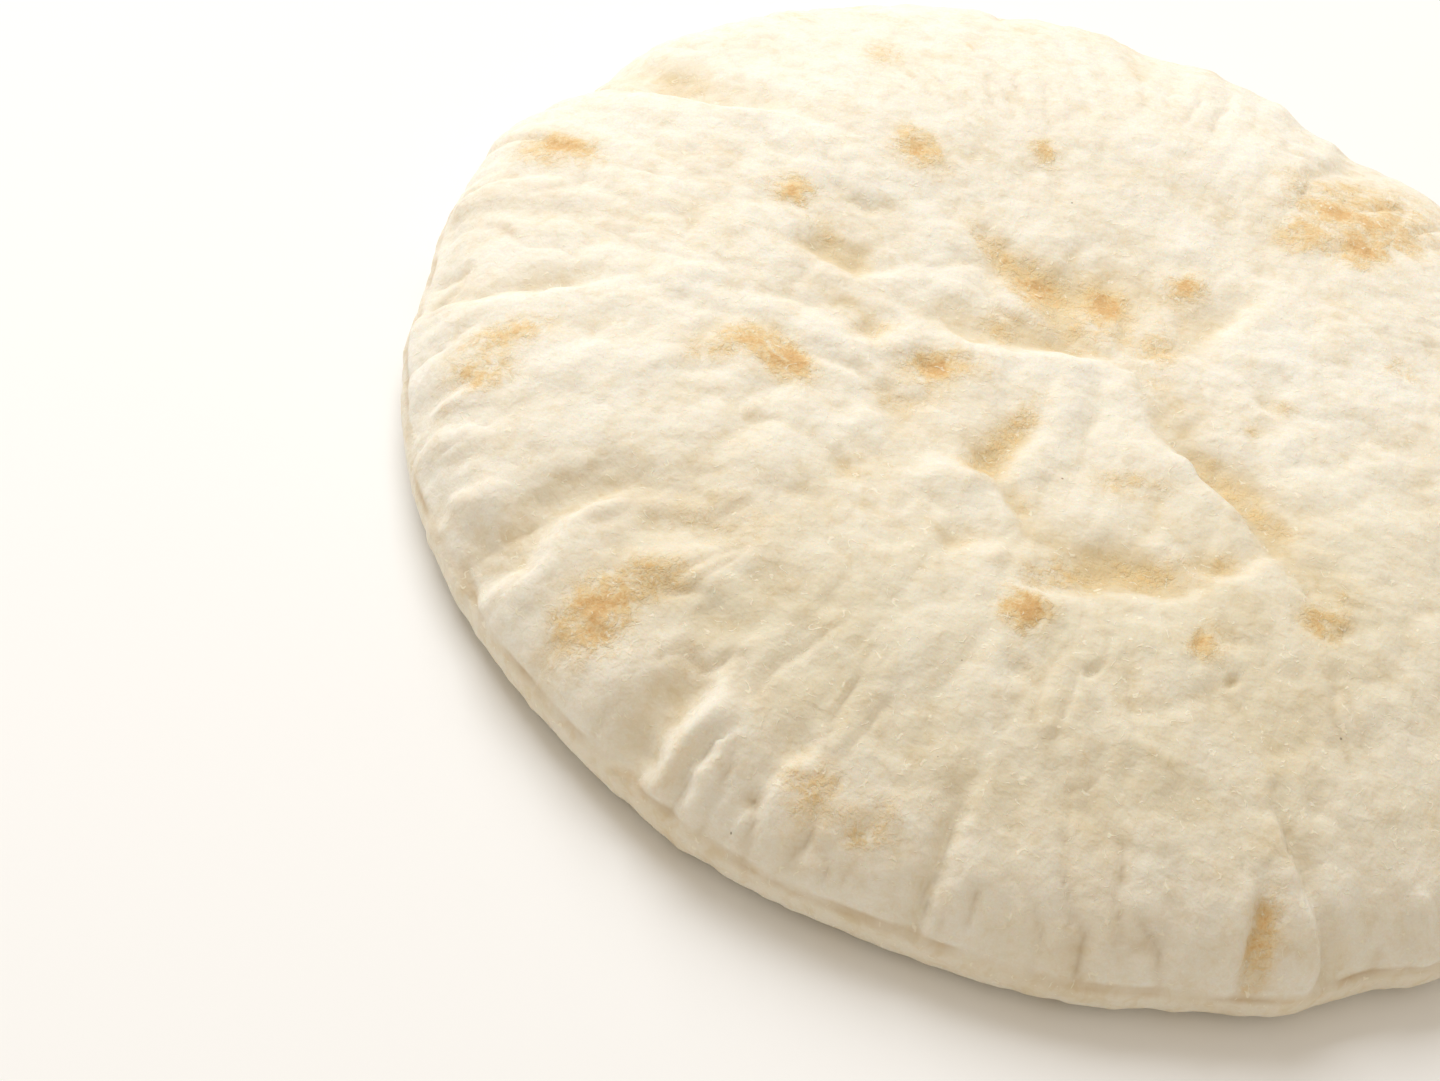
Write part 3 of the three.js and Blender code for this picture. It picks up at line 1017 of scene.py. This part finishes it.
def crust_material(settings, groups):
    """Pale floured dough, browned in spots, with painted shade in its hollows, creases, seam groove and on
    its south side.
    """
    material = bpy.data.materials.new("baked_crust")
    material.use_nodes = True
    tree = material.node_tree
    tree.nodes.clear()
    place = add(tree, "TexCoord").outputs["Object"]
    mottle = noise_of(tree, place, 9, detail=4, roughness=0.6, distortion=0.4)
    fine_mottle = noise_of(tree, place, 2.2, detail=3, roughness=0.6, distortion=0.5)
    rough_toast = noise_of(tree, place, 1.1, detail=3, roughness=0.6, distortion=0.4)
    flour = place_group(tree, groups["flour"], Place=place, Amount=mask_of(tree, "floured"))["Flour"]
    toast = place_group(tree, groups["toasting"], Place=place, Toast=mask_of(tree, "toast"))
    grain = place_group(tree, groups["grain"], Place=place)

    warm_and_hollow_shade = spread(tree, mottle, 0.42, 0.7, 0.0, 0.38)
    # Painted shade in the hollows, on top of the random warm patches.
    warm_and_hollow_shade = sums(tree, "ADD", warm_and_hollow_shade, part(tree, mask_of(tree, "hollow"), 0.9))
    warm_and_hollow_shade = sums(tree, "ADD", warm_and_hollow_shade, spread(tree, fine_mottle, 0.44, 0.68, 0.0, 0.42), clamp=True)

    # The coats on the dough, from the lowest up: how much of each shows, its colour and how it mixes. The
    # hollow, south, crease and seam coats are painted shade.
    coats = [
        (warm_and_hollow_shade, settings.warm_tone_and_shade_colour, "MIX"),
        (flour, settings.flour_colour, "MIX"),
        (part(tree, toast["Toasted"], 0.9), settings.toast_colour, "MIX"),
        (part(tree, toast["Brown"], 0.8), settings.brown_colour, "MIX"),
        # Painted shade on the south side.
        (mask_of(tree, "south_shade"), settings.south_shade_colour, "MULTIPLY"),
        # Painted shade in the creases.
        (part(tree, mask_of(tree, "crease"), 0.6, clamp=True), settings.crease_shade_colour, "MIX"),
        (part(tree, bran_specks(tree, place), 0.7), settings.speck_colour, "MIX"),
        # Painted shade in the seam groove.
        (part(tree, mask_of(tree, "seam"), 0.7), settings.crease_shade_colour, "MIX"),
        (spread(tree, grain["Dust"], 0.3, 0.7, 0.0, 0.18), settings.warm_tone_and_shade_colour, "MIX"),
        (part(tree, grain["Fibres"], 0.65), settings.fibre_colour, "MIX"),
    ]
    base = linear(settings.crust_colour)
    for share, shade, blend in coats:
        base = tint(tree, share, base, linear(shade), blend)

    height = sums(tree, "ADD", grain["Height"], sums(tree, "MULTIPLY", rough_toast, toast["Toasted"]))
    bump = add(tree, "Bump", Height=height, Strength=1.0, Distance=0.3 * MM)
    shader = add(tree, "BsdfPrincipled", Base_Color=base, Normal=bump.outputs["Normal"], IOR=1.4)
    fill(tree, shader.inputs["Roughness"], spread(tree, fine_mottle, 0.2, 0.8, 0.78, 0.92))
    shader.inputs["Specular IOR Level"].default_value = 0.3
    shader.inputs["Subsurface Weight"].default_value = 0.25
    shader.inputs["Subsurface Radius"].default_value = (1.0, 0.62, 0.36)
    shader.inputs["Subsurface Scale"].default_value = 1.6 * MM
    shader.inputs["Sheen Weight"].default_value = 0.12
    shader.inputs["Sheen Roughness"].default_value = 0.6
    output = tree.nodes.new("ShaderNodeOutputMaterial")
    tree.links.new(shader.outputs["BSDF"], output.inputs["Surface"])
    return material


# ---------------------------------------------------------------------------------------------------------
# Operators

class FLATBREAD_OT_model_loaf(bpy.types.Operator):
    """Model the whole loaf, crust, seam, wall and sole, and give it its baked crust"""

    bl_idname = "flatbread.model_loaf"
    bl_label = "Loaf"

    def execute(self, context):
        settings = context.scene.flatbread_loaf
        profile = Profile(settings.radius, settings.height)
        dough = roll_dough(profile, settings.radius)
        mesh = bpy.data.meshes.new("flatbread")
        dough.to_mesh(mesh)
        dough.free()
        bake(mesh, profile, settings)
        finished = bmesh.new()
        finished.from_mesh(mesh)
        bmesh.ops.recalc_face_normals(finished, faces=finished.faces)
        finished.to_mesh(mesh)
        finished.free()
        mesh.shade_smooth()
        loaf = bpy.data.objects.new("flatbread", mesh)
        context.scene.collection.objects.link(loaf)
        groups = {"toasting": toasting_group(), "flour": flour_group(), "grain": grain_group()}
        mesh.materials.append(crust_material(settings, groups))
        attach(loaf, "root")
        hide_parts(CAD_NODE)
        return {"FINISHED"}


class FLATBREAD_OT_set_stage(bpy.types.Operator):
    """Lay the pale floor, hang the soft lights and set the camera"""

    bl_idname = "flatbread.set_stage"
    bl_label = "Floor, lights and camera"

    def execute(self, context):
        scene = context.scene
        settings = scene.flatbread_studio
        self.lay_floor(scene, settings)
        self.hang_key(scene, settings)
        self.set_surround(scene, settings)
        self.set_camera(scene, settings)
        scene.view_settings.view_transform = "Standard"
        return {"FINISHED"}

    def lay_floor(self, scene, settings):
        """A plain pale disc under the loaf"""
        plane = bmesh.new()
        bmesh.ops.create_circle(plane, cap_ends=True, segments=FLOOR_FACETS, radius=FLOOR_RADIUS)
        mesh = bpy.data.meshes.new("floor")
        plane.to_mesh(mesh)
        plane.free()
        floor = bpy.data.objects.new("floor", mesh)
        scene.collection.objects.link(floor)
        material = bpy.data.materials.new("pale_floor")
        material.use_nodes = True
        shader = material.node_tree.nodes["Principled BSDF"]
        shader.inputs["Base Color"].default_value = linear(settings.floor_colour)
        shader.inputs["Roughness"].default_value = 0.7
        shader.inputs["Specular IOR Level"].default_value = 0.2
        mesh.materials.append(material)

    def hang_key(self, scene, settings):
        """The big soft light, turned to the loaf"""
        lamp = bpy.data.lights.new("key", "AREA")
        lamp.color = KEY_COLOUR
        lamp.energy = settings.key_power
        lamp.size = KEY_SIZE
        holder = bpy.data.objects.new("key", lamp)
        scene.collection.objects.link(holder)
        up = math.sin(math.radians(KEY_ELEVATION))
        way = Vector((*plan_point(math.cos(math.radians(KEY_ELEVATION)), KEY_AZIMUTH), up))
        holder.location = Vector((0, 0, 0.5 * LOAF_HEIGHT)) + way * KEY_DISTANCE
        holder.rotation_euler = way.to_track_quat("Z", "Y").to_euler()

    def set_surround(self, scene, settings):
        """The even light from all round"""
        world = bpy.data.worlds.new("surround")
        world.use_nodes = True
        sky = world.node_tree.nodes["Background"]
        sky.inputs["Color"].default_value = SKY_COLOUR
        sky.inputs["Strength"].default_value = settings.sky_strength
        scene.world = world

    def set_camera(self, scene, settings):
        """A camera that looks down at the front left of the loaf"""
        across, along, up = CAMERA_AIM
        aim = Vector((across * LOAF_RADIUS, along * LOAF_RADIUS, up * LOAF_HEIGHT))
        lens = bpy.data.cameras.new("camera")
        lens.lens = settings.lens
        lens.sensor_width = SENSOR_WIDTH
        lens.clip_start = NEAR_CLIP
        camera = bpy.data.objects.new("camera", lens)
        scene.collection.objects.link(camera)
        tilt = Euler((math.pi / 2 - settings.elevation, 0, 0)).to_matrix()
        turn = tilt @ Matrix.Rotation(settings.roll, 3, "Z")
        place = aim + turn.col[2] * CAMERA_DISTANCE * LOAF_RADIUS
        camera.matrix_world = Matrix.Translation(place) @ turn.to_4x4()
        scene.camera = camera


# ---------------------------------------------------------------------------------------------------------
# Panel

class FLATBREAD_PT_sidebar(bpy.types.Panel):
    """Buttons for the loaf and its stage, with their sizes and colours"""

    bl_label = "Pocket Flatbread"
    bl_idname = "FLATBREAD_PT_sidebar"
    bl_space_type = "VIEW_3D"
    bl_region_type = "UI"
    bl_category = "Bread"

    def draw(self, context):
        for operator, settings in (
            (FLATBREAD_OT_model_loaf, context.scene.flatbread_loaf),
            (FLATBREAD_OT_set_stage, context.scene.flatbread_studio),
        ):
            box = self.layout.box()
            box.operator(operator.bl_idname)
            for name in settings.__annotations__:
                box.prop(settings, name)


CLASSES = (
    FlatbreadLoafSettings,
    FlatbreadStudioSettings,
    FLATBREAD_OT_model_loaf,
    FLATBREAD_OT_set_stage,
    FLATBREAD_PT_sidebar,
)


def register():
    for kind in CLASSES:
        bpy.utils.register_class(kind)
    bpy.types.Scene.flatbread_loaf = bpy.props.PointerProperty(type=FlatbreadLoafSettings)
    bpy.types.Scene.flatbread_studio = bpy.props.PointerProperty(type=FlatbreadStudioSettings)


def unregister():
    del bpy.types.Scene.flatbread_studio
    del bpy.types.Scene.flatbread_loaf
    for kind in reversed(CLASSES):
        bpy.utils.unregister_class(kind)


def main():
    register()
    bpy.ops.flatbread.model_loaf()
    bpy.ops.flatbread.set_stage()


if __name__ == "__main__":
    main()
